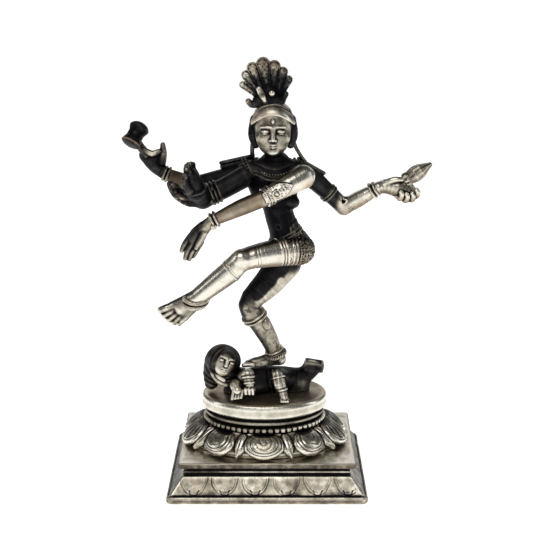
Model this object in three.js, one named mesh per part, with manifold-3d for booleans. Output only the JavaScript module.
// Four-armed dancing figure on a dwarf, a lotus pedestal and a stepped plinth.
// A table-top cast statue: millimetres, +Z up, +X to the viewer's right, -Y to the front.
// The origin is the centre of the plinth's underside.

import * as THREE from "three";
import { mergeVertices } from "three/addons/utils/BufferGeometryUtils.js";
import Module from "manifold-3d";

const wasm = await Module();
wasm.setup();

// ---------------------------------------------------------------- driving dimensions

const GAP = 0.3; // clearance between neighbouring pieces
const LIMB_SIDES = 8;
const RING_SIDES = 12;
const RING_SECTION_SIDES = 5;

const PLINTH_WIDTH = 100;
const PLINTH_DEPTH = 75;
const BAND_TOP = 4;
const PANEL_TOP = 11.8;
const PANEL_SLOPE = 6.7;
const NECK_INSET = 8.8;
const NECK_BEAD_Z = 13.8;
const DECK_THICKNESS = 2;
const SLAB_BOTTOM = 16.4;
const SLAB_TOP = 19.2;
const SLAB_WIDTH = 88.5;
const SLAB_DEPTH = 63;
const WALL = 3;
const PLATE_THICKNESS = 1.2;
const PLATE_RIM = 2.6;

const SCREW_SPACING = 28;
const SCREW_SHANK_RADIUS = 1.7;
const SCREW_HEAD_RADIUS = 3.2;
const SCREW_HEAD_HEIGHT = 2.6;
const SCREW_TOP = 31;
const SCREW_HOLE_RADIUS = 2.1;

const PEDESTAL_X = -1.5;
const OVAL_RATIO = 0.69; // depth over width of every oval in the pedestal
const PETAL_REACH = 43.6;
const PETAL_TOP_REACH = 30.6;
const PETAL_TOP_Z = 30.2;
const PETAL_TIP_Z = 20.6;
const LARGE_PETAL_ANGLES = [0, 38, 90, 142, 180, 218, 270, 322];
const SPEAR_PETAL_ANGLES = [19, 64, 116, 161, 199, 244, 296, 341];
const BEAD_RING_REACH = 30.4;
const BEAD_RING_Z = 32.3;
const BEAD_RING_SECTION = 1.15;
const PEDESTAL_TOP = 38.2;
const PLATFORM_TOP = 46;

const vec = (x, y, z) => new THREE.Vector3(x, y, z);

// Joints and ends of the dancing figure's limbs. "Left" and "right" are the figure's own.
const FIGURE = {
  chest: vec(3.6, 0, 153.5),
  rightShoulder: vec(-9.5, 0, 158.3),
  leftShoulder: vec(17.2, 0, 158.3),
  waist: vec(6, 0, 138.5),
  hips: vec(11.9, 0, 121.6),
  neckBase: vec(3.8, 0.5, 163),
  neckTop: vec(3.4, -0.5, 171.5),
  skull: vec(3.2, 1, 182),
  face: vec(3.2, -2.6, 178.2),
};
const LEFT_FRONT_ARM = {
  shoulder: vec(17.6, -7, 158.4),
  medallion: vec(4.6, -14, 152.6),
  elbow: vec(-0.5, -15.5, 150.2),
  wrist: vec(-26.3, -17, 138.5),
  knuckles: vec(-33.4, -17, 130.9),
  fingertips: vec(-39.4, -17, 120.6),
  thumbTip: vec(-33.6, -20, 126.6),
};
const RIGHT_FRONT_ARM = {
  shoulder: vec(-11, -4.5, 157.2),
  elbow: vec(-27.6, -8, 148.4),
  wrist: vec(-29.6, -18, 151),
  palm: vec(-32.4, -19.6, 157.6),
  fingertips: vec(-36, -21.4, 166.4),
  thumbTip: vec(-35.8, -24, 162.4),
};
const RIGHT_REAR_ARM = {
  shoulder: vec(-12, 3.5, 157.8),
  elbow: vec(-36.5, 8, 151.2),
  wrist: vec(-51.1, 8, 157.7),
  palm: vec(-57, 8, 163.8),
  fingertips: vec(-61.6, 6.5, 168.6),
  raisedFinger: vec(-50.2, 8, 171.4),
};
const LEFT_REAR_ARM = {
  shoulder: vec(21.6, 3.5, 156.6),
  elbow: vec(38.2, 8, 139.9),
  wrist: vec(54, 5, 150.3),
  palm: vec(62.6, 4, 151),
  fingertips: vec(71.6, 3, 147.4),
  thumbTip: vec(66, 0.4, 155.4),
};
const RAISED_LEG = {
  hip: vec(15.4, -4.5, 121.8),
  knee: vec(-11.2, -16.6, 120.2),
  calf: vec(-19, -17.4, 113.6),
  ankle: vec(-34, -18, 101.2),
  heel: vec(-30.4, -15.8, 99),
  innerBall: vec(-45, -18.4, 98),
  ball: vec(-42.5, -18, 95),
  outerBall: vec(-39.8, -18, 91.6),
  bigToe: vec(-51.6, -19.2, 94.8),
  smallToe: vec(-42, -18.6, 88.4),
};
const STANDING_LEG = {
  hip: vec(8.4, 1, 112.2),
  knee: vec(-9.2, -6.6, 93.9),
  calf: vec(-2, -3.2, 80),
  ankle: vec(4.2, 0, 65.2),
  heel: vec(7.6, 0, 62.4),
  ball: vec(-6, -1.2, 62),
  toes: vec(-10.6, -1.8, 61.4),
};
const FOOT_SOLE_Z = 59.6;
const DWARF = {
  chest: vec(-13, -4, 52.6),
  belly: vec(0, -1.4, 52.9),
  hips: vec(13, 1.4, 51.6),
  head: vec(-22, -6, 63.6),
  hair: vec(-22.6, -2.6, 62.4),
  hairEnd: vec(-29, -0.5, 51.6),
  frontKnee: vec(5.2, -10.8, 60),
  frontAnkle: vec(8, -14.6, 51.6),
  frontToes: vec(8.8, -17, 48.4),
  rearKnee: vec(19.6, 3, 50.4),
  rearAnkle: vec(23, 3, 55.2),
  rearHeel: vec(20.4, 3, 58.4),
  rearToes: vec(27, 3, 57.4),
};
const FAN_ROOT = vec(1.1, 0, 196);
const FAN_TIPS = [
  [-11.4, 200.4],
  [-9.4, 205.4],
  [-6.4, 208.8],
  [-2.6, 211.8],
  [2.2, 209.8],
  [6, 207.4],
  [9.4, 203.6],
];
const FAN_LOBE_RADIUS = 2.5;
const DRUM = { top: vec(-61.6, 8, 180.6), bottom: vec(-67.4, 8, 170.2), radius: 5, waist: 2.7 };
const FLAME = { base: vec(65.6, 4, 153.6), tip: vec(80.8, 4, 162.4), radius: 4 };

// ---------------------------------------------------------------- solids

function toSolid(geometry) {
  const bare = geometry.clone();
  bare.deleteAttribute("normal");
  bare.deleteAttribute("uv");
  const merged = mergeVertices(bare, 1e-4);
  const corners = merged.index.array;
  const triangles = [];
  for (let i = 0; i < corners.length; i += 3) {
    const [a, b, c] = [corners[i], corners[i + 1], corners[i + 2]];
    if (a !== b && b !== c && c !== a) triangles.push(a, b, c);
  }
  const mesh = new wasm.Mesh({
    numProp: 3,
    vertProperties: new Float32Array(merged.attributes.position.array),
    triVerts: new Uint32Array(triangles),
  });
  return new wasm.Manifold(mesh);
}

function toGeometry(solid) {
  const mesh = solid.getMesh();
  const geometry = new THREE.BufferGeometry();
  geometry.setAttribute("position", new THREE.BufferAttribute(mesh.vertProperties, 3));
  geometry.setIndex(new THREE.BufferAttribute(mesh.triVerts, 1));
  geometry.computeVertexNormals();
  return geometry;
}

const join = (...solids) => solids.reduce((whole, solid) => whole.add(solid));
const cut = (solid, ...tools) => tools.reduce((left, tool) => left.subtract(tool), solid);

// Keeps the main body of a solid that a cut has left with loose scraps.
function mainBody(solid) {
  const bodies = solid.decompose();
  return bodies.reduce((main, body) => (body.volume() > main.volume() ? body : main));
}

// Turns a geometry made along +Y so that it runs from start towards end.
function aim(geometry, start, end) {
  const direction = end.clone().sub(start).normalize();
  const turn = new THREE.Quaternion().setFromUnitVectors(vec(0, 1, 0), direction);
  return geometry.applyQuaternion(turn).translate(start.x, start.y, start.z);
}

// Rings of a round-ended limb through a list of [point, radius] pairs.
function limbRings(stations, grow) {
  const directions = [];
  for (let i = 1; i < stations.length; i++) {
    directions.push(stations[i][0].clone().sub(stations[i - 1][0]).normalize());
  }
  const [first, last] = [directions[0], directions[directions.length - 1]];
  const rings = [];
  const addCap = ([point, radius], along, angles) => {
    for (const angle of angles) {
      const size = radius + grow;
      const centre = point.clone().addScaledVector(along, size * Math.sin(angle));
      rings.push({ centre, along, radius: size * Math.cos(angle) });
    }
  };
  const capAngles = [-Math.PI / 2, -Math.PI / 4, 0];
  addCap(stations[0], first, capAngles);
  for (let i = 1; i < stations.length - 1; i++) {
    const [point, radius] = stations[i];
    const along = directions[i - 1].clone().add(directions[i]).normalize();
    rings.push({ centre: point, along, radius: radius + grow });
  }
  addCap(stations[stations.length - 1], last, capAngles.map((angle) => -angle).reverse());
  return rings;
}

// A lathe turning whose rings are then carried along the limb's bones.
function limb(stations, grow = 0, sides = LIMB_SIDES) {
  const rings = limbRings(stations, grow);
  const profile = rings.map(({ radius }, step) => new THREE.Vector2(Math.max(radius, 0), step));
  profile[0].x = 0;
  profile[profile.length - 1].x = 0;
  const geometry = new THREE.LatheGeometry(profile, sides);
  let across = Math.abs(rings[0].along.x) < 0.9 ? vec(1, 0, 0) : vec(0, 1, 0);
  for (const ring of rings) {
    across = across.clone().addScaledVector(ring.along, -across.dot(ring.along)).normalize();
    ring.across = across;
    ring.third = across.clone().cross(ring.along);
  }
  const points = geometry.attributes.position;
  for (let i = 0; i < points.count; i++) {
    const { centre, across: side, third } = rings[Math.round(points.getY(i))];
    const place = centre.clone().addScaledVector(side, points.getX(i)).addScaledVector(third, points.getZ(i));
    points.setXYZ(i, place.x, place.y, place.z);
  }
  return toSolid(geometry);
}

const roundCone = (start, end, startRadius, endRadius, sides) =>
  limb([[start, startRadius], [end, endRadius]], 0, sides);

function ellipsoid(centre, radii, grow = 0, turn = new THREE.Euler()) {
  const geometry = new THREE.SphereGeometry(1, 10, 6);
  geometry.rotateX(Math.PI / 2);
  geometry.scale(radii.x + grow, radii.y + grow, radii.z + grow);
  geometry.applyQuaternion(new THREE.Quaternion().setFromEuler(turn));
  return toSolid(geometry.translate(centre.x, centre.y, centre.z));
}

// A ring of round section about the line from centre towards "along".
function ring(centre, along, reach, section, grow = 0, ratio = 1) {
  const profile = [];
  for (let i = 0; i <= RING_SECTION_SIDES; i++) {
    const angle = (2 * Math.PI * (i % RING_SECTION_SIDES)) / RING_SECTION_SIDES;
    const size = section + grow;
    profile.push(new THREE.Vector2(reach + size * Math.cos(angle), size * Math.sin(angle)));
  }
  const geometry = new THREE.LatheGeometry(profile, RING_SIDES);
  geometry.scale(1, 1, ratio);
  return toSolid(aim(geometry, centre, along));
}

function roundedOutline(width, depth, radius) {
  const [x, y] = [width / 2 - radius, depth / 2 - radius];
  const outline = new THREE.Shape();
  outline.absarc(x, y, radius, 0, Math.PI / 2);
  outline.absarc(-x, y, radius, Math.PI / 2, Math.PI);
  outline.absarc(-x, -y, radius, Math.PI, 1.5 * Math.PI);
  outline.absarc(x, -y, radius, 1.5 * Math.PI, 2 * Math.PI);
  return outline;
}

function roundedBlock(width, depth, bottom, top, radius) {
  const outline = roundedOutline(width, depth, radius);
  const options = { depth: top - bottom, bevelEnabled: false, curveSegments: 4 };
  return toSolid(new THREE.ExtrudeGeometry(outline, options).translate(0, 0, bottom));
}

// A block whose four sides lean in by "slope" on the way up.
function taperedBlock(width, depth, slope, bottom, top) {
  const geometry = new THREE.BoxGeometry(width, depth, top - bottom);
  const corners = geometry.attributes.position;
  for (let i = 0; i < corners.count; i++) {
    const lean = corners.getZ(i) > 0 ? slope : 0;
    corners.setX(i, corners.getX(i) - lean * Math.sign(corners.getX(i)));
    corners.setY(i, corners.getY(i) - lean * Math.sign(corners.getY(i)));
  }
  return toSolid(geometry.translate(0, 0, (bottom + top) / 2));
}

function cylinder(centre, radius, bottom, top, sides = LIMB_SIDES) {
  const geometry = new THREE.CylinderGeometry(radius, radius, top - bottom, sides);
  geometry.rotateX(Math.PI / 2);
  return toSolid(geometry.translate(centre.x, centre.y, (bottom + top) / 2));
}

function ovalTurning(profile, centreX, sides) {
  const points = profile.map(([reach, z]) => new THREE.Vector2(reach, z));
  const geometry = new THREE.LatheGeometry(points, sides);
  geometry.rotateX(Math.PI / 2);
  geometry.scale(1, OVAL_RATIO, 1);
  return toSolid(geometry.translate(centreX, 0, 0));
}

const HALF_SPACE = 400;

function above(z) {
  const geometry = new THREE.BoxGeometry(HALF_SPACE, HALF_SPACE, HALF_SPACE);
  return toSolid(geometry.translate(0, 0, z + HALF_SPACE / 2));
}

const between = (start, end, share) => start.clone().lerp(end, share);

// A ring round a limb, centred on the limb's surface, "share" of the way along a bone.
function limbRing(start, end, share, radius, section) {
  const centre = between(start, end, share);
  const along = centre.clone().add(end.clone().sub(start));
  return (grow = 0) => ring(centre, along, radius, section, grow);
}

// ---------------------------------------------------------------- plinth

const screwCentres = { left: vec(-SCREW_SPACING / 2, 0, 0), right: vec(SCREW_SPACING / 2, 0, 0) };
const NECK_TOP = SLAB_BOTTOM - GAP;
const DECK_BOTTOM = NECK_TOP - DECK_THICKNESS;

function screwHoles() {
  const holes = Object.values(screwCentres).map((centre) =>
    cylinder(centre, SCREW_HOLE_RADIUS, DECK_BOTTOM - 1, SCREW_TOP + 1),
  );
  return join(...holes);
}

function plinthBase() {
  const band = roundedBlock(PLINTH_WIDTH, PLINTH_DEPTH, 0, BAND_TOP, 2.4);
  const panel = taperedBlock(PLINTH_WIDTH - 1, PLINTH_DEPTH - 1, PANEL_SLOPE, BAND_TOP, PANEL_TOP);
  const neckWidth = PLINTH_WIDTH - 2 * NECK_INSET;
  const neckDepth = PLINTH_DEPTH - 2 * NECK_INSET;
  const neck = roundedBlock(neckWidth, neckDepth, PANEL_TOP, NECK_TOP, 1);
  const bead = roundedBlock(neckWidth + 1.4, neckDepth + 1.4, NECK_BEAD_Z - 0.5, NECK_BEAD_Z + 0.5, 1.4);
  const hollowWidth = PLINTH_WIDTH - 2 * WALL;
  const hollowDepth = PLINTH_DEPTH - 2 * WALL;
  const hollow = taperedBlock(hollowWidth, hollowDepth, NECK_INSET, 0, DECK_BOTTOM);
  const plateWidth = PLINTH_WIDTH - 2 * PLATE_RIM;
  const plateDepth = PLINTH_DEPTH - 2 * PLATE_RIM;
  const seat = roundedBlock(plateWidth, plateDepth, -1, PLATE_THICKNESS + GAP, 1);
  return cut(join(band, panel, neck, bead), hollow, seat, screwHoles());
}

function undersidePlate() {
  const width = PLINTH_WIDTH - 2 * (PLATE_RIM + GAP);
  const depth = PLINTH_DEPTH - 2 * (PLATE_RIM + GAP);
  return roundedBlock(width, depth, 0, PLATE_THICKNESS, 1);
}

function plinthSlab() {
  const slab = roundedBlock(SLAB_WIDTH, SLAB_DEPTH, SLAB_BOTTOM, SLAB_TOP, 1.6);
  return cut(slab, screwHoles());
}

function fixingScrew(centre) {
  const headTop = DECK_BOTTOM - GAP;
  const head = cylinder(centre, SCREW_HEAD_RADIUS, headTop - SCREW_HEAD_HEIGHT, headTop, 6);
  const shank = cylinder(centre, SCREW_SHANK_RADIUS, headTop - 1, SCREW_TOP);
  return join(head, shank);
}

// ---------------------------------------------------------------- lotus pedestal

function ovalPoint(degrees, reach, z) {
  const angle = THREE.MathUtils.degToRad(degrees);
  return vec(PEDESTAL_X + reach * Math.sin(angle), -reach * OVAL_RATIO * Math.cos(angle), z);
}

// One petal: a flattened egg that leans out and down from the bead ring to its tip.
function petal(degrees, halfWidth, halfThickness, reach) {
  const top = ovalPoint(degrees, PETAL_TOP_REACH, PETAL_TOP_Z);
  const tip = ovalPoint(degrees, reach, PETAL_TIP_Z);
  const geometry = new THREE.SphereGeometry(1, 8, 5);
  const halfLength = top.distanceTo(tip) / 2 + 1;
  geometry.scale(halfWidth, halfLength, halfThickness);
  const down = tip.clone().sub(top).normalize();
  const across = vec(0, 0, 1).cross(down).normalize();
  const out = across.clone().cross(down);
  geometry.applyMatrix4(new THREE.Matrix4().makeBasis(across, down, out));
  const middle = between(top, tip, 0.5);
  return toSolid(geometry.translate(middle.x, middle.y, middle.z));
}

function beadRing(grow = 0) {
  const centre = vec(PEDESTAL_X, 0, BEAD_RING_Z);
  const profile = [];
  for (let i = 0; i <= RING_SECTION_SIDES; i++) {
    const angle = (2 * Math.PI * (i % RING_SECTION_SIDES)) / RING_SECTION_SIDES;
    const size = BEAD_RING_SECTION + grow;
    profile.push([BEAD_RING_REACH + size * Math.cos(angle), centre.z + size * Math.sin(angle)]);
  }
  return ovalTurning(profile, centre.x, 28);
}

function lotusPedestal() {
  const core = [
    [0, SLAB_TOP + GAP],
    [38.5, SLAB_TOP + GAP],
    [37.5, 22.5],
    [33.5, 27],
    [30.6, 30.4],
    [28.8, 31],
    [28.4, 34.4],
    [30.4, 35.2],
    [30.6, 36.4],
    [29, 37],
    [28.6, PEDESTAL_TOP],
    [0, PEDESTAL_TOP],
  ];
  const body = ovalTurning(core, PEDESTAL_X, 28);
  const large = LARGE_PETAL_ANGLES.map((angle) => petal(angle, 9.8, 3, PETAL_REACH));
  const spears = SPEAR_PETAL_ANGLES.map((angle) => petal(angle, 3, 2.6, PETAL_REACH - 1.4));
  const flower = join(body, ...large, ...spears).intersect(above(SLAB_TOP + GAP));
  return cut(flower, beadRing(GAP), screwHoles());
}

function ovalPlatform() {
  const bottom = PEDESTAL_TOP + GAP;
  const profile = [
    [0, bottom],
    [30, bottom],
    [31.6, 39.6],
    [32.3, 41.4],
    [32.1, 43.6],
    [31.1, 45.3],
    [29.6, PLATFORM_TOP],
    [0, PLATFORM_TOP],
  ];
  return ovalTurning(profile, PEDESTAL_X, 32);
}

// ---------------------------------------------------------------- dwarf

function dwarfHead(grow = 0) {
  const face = ellipsoid(DWARF.head, vec(6.6, 7, 8), grow, new THREE.Euler(0, 0.25, 0));
  const hair = ellipsoid(DWARF.hair, vec(10, 6.4, 9.2), grow);
  const lock = limb([[vec(-26.6, -1.4, 58.5), 4.6], [DWARF.hairEnd, 3.6]], grow);
  return join(face, hair, lock);
}

function dwarfBody() {
  const trunk = limb([[DWARF.chest, 6.4], [DWARF.belly, 6.9], [DWARF.hips, 6.4]]);
  const neck = limb([[DWARF.chest, 4.6], [vec(-19, -5, 58), 4]]);
  const frontLeg = limb([
    [vec(9, -4, 54), 4.6],
    [DWARF.frontKnee, 3.3],
    [DWARF.frontAnkle, 2.3],
    [DWARF.frontToes, 1.9],
  ]);
  const rearLeg = limb([[DWARF.hips, 5.6], [DWARF.rearKnee, 4.4], [DWARF.rearAnkle, 4]]);
  const rearFoot = limb([[DWARF.rearHeel, 2.7], [DWARF.rearAnkle, 3], [DWARF.rearToes, 2.4]]);
  const frontArm = limb([
    [vec(-12, -8, 57), 3.2],
    [vec(-9, -13, 60.8), 2.7],
    [vec(-8.7, -16, 55.8), 2.1],
    [vec(-8.6, -16.6, 53.6), 2.4],
  ]);
  const restingHand = limb([[vec(-14, -8, 54), 2.8], [vec(-15.4, -15.6, 52.8), 2.3]]);
  const whole = join(trunk, neck, frontLeg, rearLeg, rearFoot, frontArm, restingHand);
  const resting = whole.intersect(above(PLATFORM_TOP + GAP));
  return mainBody(cut(resting, dwarfHead(GAP), standingFoot(GAP)));
}

function dwarfHeadPiece() {
  return mainBody(dwarfHead().intersect(above(PLATFORM_TOP + GAP)));
}

// ---------------------------------------------------------------- torso, legs

function torso(grow = 0) {
  const chest = ellipsoid(FIGURE.chest, vec(13.2, 8.4, 11), grow);
  const shoulders = limb([[FIGURE.rightShoulder, 6.2], [FIGURE.leftShoulder, 6.2]], grow);
  const waist = limb([[vec(4.6, 0, 147), 8], [FIGURE.waist, 7.2], [vec(9.6, 0, 127.5), 8]], grow);
  const hips = ellipsoid(FIGURE.hips, vec(10.6, 8.8, 9.6), grow);
  const collar = roundCone(vec(3.9, 0.6, 157), vec(3.9, 0.8, 165), 10.4 + grow, 5.6 + grow, LIMB_SIDES);
  return join(chest, shoulders, waist, hips, collar);
}

function raisedLeg(grow = 0) {
  const leg = RAISED_LEG;
  const bones = limb(
    [
      [leg.hip, 7],
      [leg.knee, 4.9],
      [leg.calf, 4.9],
      [leg.ankle, 2.9],
      [leg.heel, 3],
    ],
    grow,
  );
  const instep = limb([[leg.ankle, 3.4], [leg.ball, 3.8]], grow);
  const innerFoot = limb([[leg.ankle, 3.1], [leg.innerBall, 2.4]], grow);
  const outerFoot = limb([[leg.heel, 3], [leg.outerBall, 2.4]], grow);
  const toes = [];
  for (let i = 0; i < 5; i++) {
    const tip = between(leg.bigToe, leg.smallToe, i / 4);
    const root = between(leg.innerBall, leg.outerBall, i / 4);
    toes.push(roundCone(root, tip, 1.8 + grow, 1.4 - 0.08 * i + grow, 6));
  }
  return join(bones, instep, innerFoot, outerFoot, ...toes);
}

function standingFoot(grow = 0) {
  const leg = STANDING_LEG;
  const foot = limb([[leg.ankle, 3.9], [leg.heel, 3.1], [leg.ball, 3.3], [leg.toes, 2.3]], grow);
  const instep = limb([[leg.ankle, 3.6], [leg.ball, 3]], grow);
  return join(foot, instep).intersect(above(FOOT_SOLE_Z - grow));
}

function standingLeg(grow = 0) {
  const leg = STANDING_LEG;
  const bones = limb([[leg.hip, 8.4], [leg.knee, 5.3], [leg.calf, 5.9], [leg.ankle, 3.9]], grow);
  return join(bones, standingFoot(grow));
}

const footPeg = (grow = 0) => cylinder(vec(-1.5, -0.8, 0), 1.6 + grow, 49 - grow, 63 + grow);

// ---------------------------------------------------------------- arms

function leftFrontArm(grow = 0) {
  const arm = LEFT_FRONT_ARM;
  const bones = limb(
    [
      [arm.shoulder, 5.8],
      [arm.medallion, 4.5],
      [arm.elbow, 3.9],
      [arm.wrist, 2.7],
      [arm.knuckles, 3],
    ],
    grow,
  );
  const fingers = [];
  for (let i = 0; i < 4; i++) {
    const spread = vec((i - 1.5) * 1.5, 0, (1.5 - i) * 0.7);
    const root = arm.knuckles.clone().add(spread);
    const tip = arm.fingertips.clone().add(spread);
    fingers.push(roundCone(root, tip, 1.4 + grow, 1 + grow, 6));
  }
  const thumbRoot = between(arm.wrist, arm.knuckles, 0.6);
  const thumb = roundCone(thumbRoot, arm.thumbTip, 1.6 + grow, 1.1 + grow, 6);
  return join(bones, ...fingers, thumb);
}

function rightFrontArm(grow = 0) {
  const arm = RIGHT_FRONT_ARM;
  const bones = limb([[arm.shoulder, 4.8], [arm.elbow, 4.2], [arm.wrist, 3.1]], grow);
  const hand = limb([[arm.elbow, 4.4], [arm.wrist, 4], [arm.palm, 4], [arm.fingertips, 2]], grow);
  const thumb = limb([[arm.palm, 2], [arm.thumbTip, 1.3]], grow, 6);
  return join(bones, hand, thumb);
}

function rightRearArm(grow = 0) {
  const arm = RIGHT_REAR_ARM;
  const bones = limb([[arm.shoulder, 4.6], [arm.elbow, 4.2], [arm.wrist, 2.9], [arm.palm, 3.3]], grow);
  const gripping = limb([[arm.palm, 2.6], [arm.fingertips, 1.8]], grow, 6);
  const raised = limb([[arm.palm, 1.9], [arm.raisedFinger, 1.1]], grow, 6);
  return join(bones, gripping, raised);
}

function leftRearArm(grow = 0) {
  const arm = LEFT_REAR_ARM;
  const bones = limb([[arm.shoulder, 4.9], [arm.elbow, 4.1], [arm.wrist, 2.9], [arm.palm, 3.4]], grow);
  const curled = limb([[arm.palm, 3.6], [arm.fingertips, 2.6]], grow);
  const thumb = limb([[arm.palm, 2.4], [arm.thumbTip, 1.2]], grow, 6);
  return join(bones, curled, thumb);
}

// ---------------------------------------------------------------- head and headdress

function headShape(grow = 0) {
  const skull = ellipsoid(FIGURE.skull, vec(10.4, 9.6, 10.4), grow);
  const face = ellipsoid(FIGURE.face, vec(8.8, 7.4, 10.2), grow);
  const nose = ellipsoid(vec(3.2, -10, 178), vec(1.1, 1.4, 2.4), grow);
  const neck = limb([[FIGURE.neckBase, 4.8], [FIGURE.neckTop, 4.4]], grow);
  const leftHair = ellipsoid(vec(12, 0.6, 175.6), vec(2.4, 4.8, 6.6), grow);
  const rightHair = ellipsoid(vec(-5.6, 0.6, 175.6), vec(2.4, 4.8, 6.6), grow);
  return join(skull, face, nose, neck, leftHair, rightHair);
}

const HEADBAND = { centre: vec(3.2, -2.4, 184.6), normal: vec(0, -0.8, 0.6), reach: 9.3, section: 1.3 };

function headband(grow = 0) {
  const along = HEADBAND.centre.clone().add(HEADBAND.normal);
  const hoop = ring(HEADBAND.centre, along, HEADBAND.reach, HEADBAND.section, grow);
  return hoop.intersect(above(181 - grow));
}

function hairFan(grow = 0) {
  const lobes = FAN_TIPS.map(([x, z]) =>
    roundCone(FAN_ROOT, vec(x, 0, z), 1.6 + grow, FAN_LOBE_RADIUS + grow, 8),
  );
  const stem = limb([[vec(1.4, 0.5, 191), 5.2], [FAN_ROOT, 3.6]], grow);
  const rightCurl = limb([[FAN_ROOT, 1.6], [vec(-8.4, -0.6, 193.4), 1.6]], grow, 6);
  const leftCurl = limb([[FAN_ROOT, 1.6], [vec(8.6, -0.6, 196), 1.6]], grow, 6);
  return join(...lobes, stem, rightCurl, leftCurl);
}

// ---------------------------------------------------------------- attributes in the hands

function handDrum(grow = 0) {
  const length = DRUM.top.distanceTo(DRUM.bottom);
  const outer = DRUM.radius + grow;
  const profile = [
    [0, -grow],
    [outer - 0.7, -grow],
    [outer, 0.8],
    [outer, 2],
    [DRUM.waist + grow, length / 2],
    [outer, length - 2],
    [outer, length - 0.8],
    [outer - 0.7, length + grow],
    [0, length + grow],
  ];
  const points = profile.map(([reach, y]) => new THREE.Vector2(reach, y));
  return toSolid(aim(new THREE.LatheGeometry(points, RING_SIDES), DRUM.bottom, DRUM.top));
}

function flameBud(grow = 0) {
  const length = FLAME.base.distanceTo(FLAME.tip);
  const widest = FLAME.radius + grow;
  const profile = [
    [0, -grow],
    [2 + grow, 0],
    [1.8 + grow, 2],
    [widest, 0.36 * length],
    [widest * 0.86, 0.6 * length],
    [widest * 0.4, 0.86 * length],
    [0, length + grow],
  ];
  const points = profile.map(([reach, y]) => new THREE.Vector2(reach, y));
  return toSolid(aim(new THREE.LatheGeometry(points, LIMB_SIDES), FLAME.base, FLAME.tip));
}

function forearmCobra() {
  const body = limb(
    [
      [vec(-33.6, -13.6, 147), 2.6],
      [vec(-38.6, -13, 148.6), 2.9],
      [vec(-43.6, -12.4, 152.6), 2.9],
      [vec(-46, -12, 156), 2],
    ],
    0,
    8,
  );
  return body;
}

// ---------------------------------------------------------------- ornaments

function strap(start, end, width, thickness) {
  const length = start.distanceTo(end);
  const outline = roundedOutline(width, thickness, thickness / 3);
  const options = { depth: length, bevelEnabled: false, curveSegments: 2 };
  const geometry = new THREE.ExtrudeGeometry(outline, options);
  const along = end.clone().sub(start).normalize();
  const across = vec(0, 0, 1).cross(along).cross(along).negate().normalize();
  const out = along.clone().cross(across);
  geometry.applyMatrix4(new THREE.Matrix4().makeBasis(across, out, along));
  return toSolid(geometry.translate(start.x, start.y, start.z));
}

const rightRibbon = () => strap(vec(-5, 6, 166.2), vec(-22.4, 7.4, 161.2), 5.2, 2.4);
const leftRibbon = () => strap(vec(12.6, 6, 165.6), vec(27.4, 7.4, 156.2), 5.2, 2.4);

function necklace(grow = 0) {
  const centre = vec(4.2, -0.4, 164.8);
  return ring(centre, vec(4.2, -1.05, 165.8), 9.4, 1, grow, 0.9);
}

function waistBelt(grow = 0) {
  const centre = vec(9.8, 0, 127);
  return ring(centre, vec(9.2, 0, 128), 9, 1.1, grow, 0.94);
}

const thighBand = limbRing(RAISED_LEG.hip, RAISED_LEG.knee, 0.33, 6.3, 0.9);
const raisedKneeBand = limbRing(RAISED_LEG.knee, RAISED_LEG.calf, 0.55, 4.9, 0.8);
const raisedAnklet = limbRing(RAISED_LEG.calf, RAISED_LEG.ankle, 0.93, 3.1, 1);
const standingKneeBand = limbRing(STANDING_LEG.knee, STANDING_LEG.calf, 0.5, 5.6, 1);
const standingAnklet = limbRing(STANDING_LEG.calf, STANDING_LEG.ankle, 0.9, 4.1, 1);
const leftFrontArmlet = limbRing(LEFT_FRONT_ARM.medallion, LEFT_FRONT_ARM.elbow, 0.8, 4.1, 1);
const leftFrontBangle = limbRing(LEFT_FRONT_ARM.elbow, LEFT_FRONT_ARM.wrist, 0.95, 2.8, 1);
const leftRearArmlet = limbRing(LEFT_REAR_ARM.shoulder, LEFT_REAR_ARM.elbow, 0.52, 4.5, 1);
const leftRearBangle = limbRing(LEFT_REAR_ARM.elbow, LEFT_REAR_ARM.wrist, 0.9, 3.1, 1);
const rightRearBangle = limbRing(RIGHT_REAR_ARM.elbow, RIGHT_REAR_ARM.wrist, 0.9, 3.1, 1);
const rightFrontArmlet = limbRing(RIGHT_FRONT_ARM.shoulder, RIGHT_FRONT_ARM.elbow, 0.86, 4.4, 1);

// ---------------------------------------------------------------- fitting the pieces together

const fitted = {
  torso: cut(torso(), necklace(GAP), waistBelt(GAP)),
  head: cut(headShape(), torso(GAP), headband(GAP), necklace(GAP)),
  hairFan: cut(hairFan(), headShape(GAP), headband(GAP)),
  raisedLeg: cut(
    raisedLeg(),
    torso(GAP),
    waistBelt(GAP),
    thighBand(GAP),
    raisedKneeBand(GAP),
    raisedAnklet(GAP),
  ),
  standingLeg: cut(
    standingLeg(),
    torso(GAP),
    raisedLeg(GAP),
    standingKneeBand(GAP),
    standingAnklet(GAP),
    footPeg(GAP),
  ),
  leftFrontArm: cut(leftFrontArm(), torso(GAP), necklace(GAP), leftFrontArmlet(GAP), leftFrontBangle(GAP)),
  leftRearArm: cut(
    leftRearArm(),
    torso(GAP),
    leftFrontArm(GAP),
    flameBud(GAP),
    leftRearArmlet(GAP),
    leftRearBangle(GAP),
  ),
  rightFrontArm: cut(rightFrontArm(), torso(GAP), rightFrontArmlet(GAP)),
  rightRearArm: cut(rightRearArm(), torso(GAP), rightFrontArm(GAP), handDrum(GAP), rightRearBangle(GAP)),
  cobra: cut(forearmCobra(), rightFrontArm(GAP), rightRearArm(GAP)),
  rightRibbon: cut(rightRibbon(), torso(GAP), rightRearArm(GAP), headShape(GAP)),
  leftRibbon: cut(leftRibbon(), torso(GAP), leftRearArm(GAP), headShape(GAP)),
  thighBand: cut(thighBand(), torso(GAP), standingLeg(GAP)),
};

// ---------------------------------------------------------------- materials and the assembly

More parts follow.
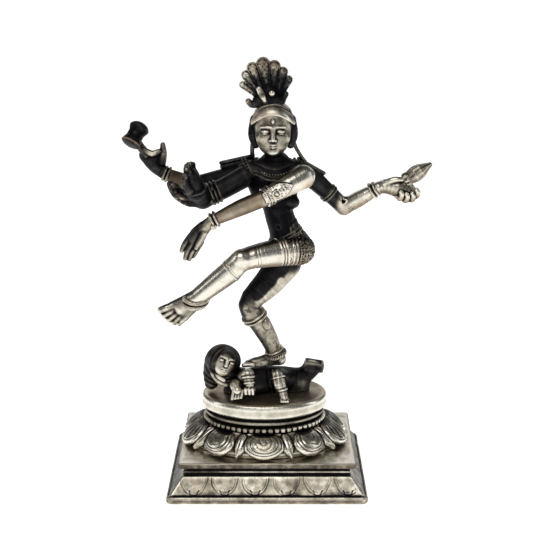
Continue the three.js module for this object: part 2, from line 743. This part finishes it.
function finish(color, roughness, metalness = 1) {
  return new THREE.MeshStandardMaterial({ color, roughness, metalness });
}

const polishedPlate = () => finish(0xc9c4b8, 0.25);
const wornPlate = () => finish(0x8a857c, 0.4);
const darkPatina = () => finish(0x34302d, 0.5);
const brassWear = () => finish(0x9a8a62, 0.35);
const plainSteel = () => finish(0x8f9296, 0.4);

const statue = new THREE.Group();
const base = new THREE.Group();
const dwarf = new THREE.Group();
const dancer = new THREE.Group();
dwarf.position.z = PLATFORM_TOP;
dancer.position.copy(FIGURE.waist);
statue.add(base, dwarf, dancer);

// Puts a solid in a group as a named mesh whose own origin is "anchor", a point of the statue.
function addPiece(group, name, solid, material, anchor) {
  const geometry = toGeometry(mainBody(solid));
  geometry.translate(-anchor.x, -anchor.y, -anchor.z);
  const mesh = new THREE.Mesh(geometry, material);
  mesh.name = name;
  mesh.position.copy(anchor).sub(group.position);
  group.add(mesh);
}

const floorCentre = vec(0, 0, 0);
const pedestalCentre = vec(PEDESTAL_X, 0, SLAB_TOP);
const { left: leftScrew, right: rightScrew } = screwCentres;

addPiece(base, "plinth_base", plinthBase(), wornPlate(), floorCentre);
addPiece(base, "underside_plate", undersidePlate(), wornPlate(), floorCentre);
addPiece(base, "plinth_slab", plinthSlab(), wornPlate(), floorCentre);
addPiece(base, "fixing_screw_left", fixingScrew(leftScrew), plainSteel(), leftScrew);
addPiece(base, "fixing_screw_right", fixingScrew(rightScrew), plainSteel(), rightScrew);
addPiece(base, "lotus_pedestal", lotusPedestal(), polishedPlate(), pedestalCentre);
addPiece(base, "bead_ring", beadRing(), polishedPlate(), pedestalCentre);
addPiece(base, "oval_platform", ovalPlatform(), polishedPlate(), pedestalCentre);

addPiece(dwarf, "dwarf_body", cut(dwarfBody(), footPeg(GAP)), darkPatina(), DWARF.belly);
addPiece(dwarf, "dwarf_head", dwarfHeadPiece(), darkPatina(), DWARF.head);
addPiece(dwarf, "foot_peg", footPeg(), plainSteel(), STANDING_LEG.ball);

addPiece(dancer, "torso", fitted.torso, darkPatina(), FIGURE.waist);
addPiece(dancer, "head", fitted.head, wornPlate(), FIGURE.neckBase);
addPiece(dancer, "headband", headband(), brassWear(), HEADBAND.centre);
addPiece(dancer, "hair_fan", fitted.hairFan, wornPlate(), FAN_ROOT);
addPiece(dancer, "standing_leg", fitted.standingLeg, darkPatina(), STANDING_LEG.hip);
addPiece(dancer, "raised_leg", fitted.raisedLeg, polishedPlate(), RAISED_LEG.hip);
addPiece(dancer, "left_front_arm", fitted.leftFrontArm, polishedPlate(), LEFT_FRONT_ARM.shoulder);
addPiece(dancer, "left_rear_arm", fitted.leftRearArm, polishedPlate(), LEFT_REAR_ARM.shoulder);
addPiece(dancer, "right_front_arm", fitted.rightFrontArm, darkPatina(), RIGHT_FRONT_ARM.shoulder);
addPiece(dancer, "right_rear_arm", fitted.rightRearArm, darkPatina(), RIGHT_REAR_ARM.shoulder);
addPiece(dancer, "hand_drum", handDrum(), darkPatina(), DRUM.bottom);
addPiece(dancer, "flame_bud", flameBud(), polishedPlate(), FLAME.base);
addPiece(dancer, "forearm_cobra", fitted.cobra, darkPatina(), RIGHT_FRONT_ARM.wrist);
addPiece(dancer, "necklace", necklace(), brassWear(), FIGURE.neckBase);
addPiece(dancer, "waist_belt", cut(waistBelt(), raisedLeg(GAP)), wornPlate(), FIGURE.hips);
addPiece(dancer, "right_shoulder_ribbon", fitted.rightRibbon, wornPlate(), FIGURE.rightShoulder);
addPiece(dancer, "left_shoulder_ribbon", fitted.leftRibbon, wornPlate(), FIGURE.leftShoulder);
addPiece(dancer, "raised_thigh_band", fitted.thighBand, polishedPlate(), RAISED_LEG.hip);
addPiece(dancer, "raised_knee_band", raisedKneeBand(), polishedPlate(), RAISED_LEG.knee);
addPiece(dancer, "raised_anklet", raisedAnklet(), polishedPlate(), RAISED_LEG.ankle);
addPiece(dancer, "standing_knee_band", standingKneeBand(), polishedPlate(), STANDING_LEG.knee);
addPiece(dancer, "standing_anklet", standingAnklet(), polishedPlate(), STANDING_LEG.ankle);
addPiece(dancer, "left_front_armlet", leftFrontArmlet(), polishedPlate(), LEFT_FRONT_ARM.elbow);
addPiece(dancer, "left_front_bangle", leftFrontBangle(), polishedPlate(), LEFT_FRONT_ARM.wrist);
addPiece(dancer, "left_rear_armlet", leftRearArmlet(), polishedPlate(), LEFT_REAR_ARM.elbow);
addPiece(dancer, "left_rear_bangle", leftRearBangle(), polishedPlate(), LEFT_REAR_ARM.wrist);
addPiece(dancer, "right_front_armlet", rightFrontArmlet(), polishedPlate(), RIGHT_FRONT_ARM.elbow);
addPiece(dancer, "right_rear_bangle", rightRearBangle(), polishedPlate(), RIGHT_REAR_ARM.wrist);

export default statue;
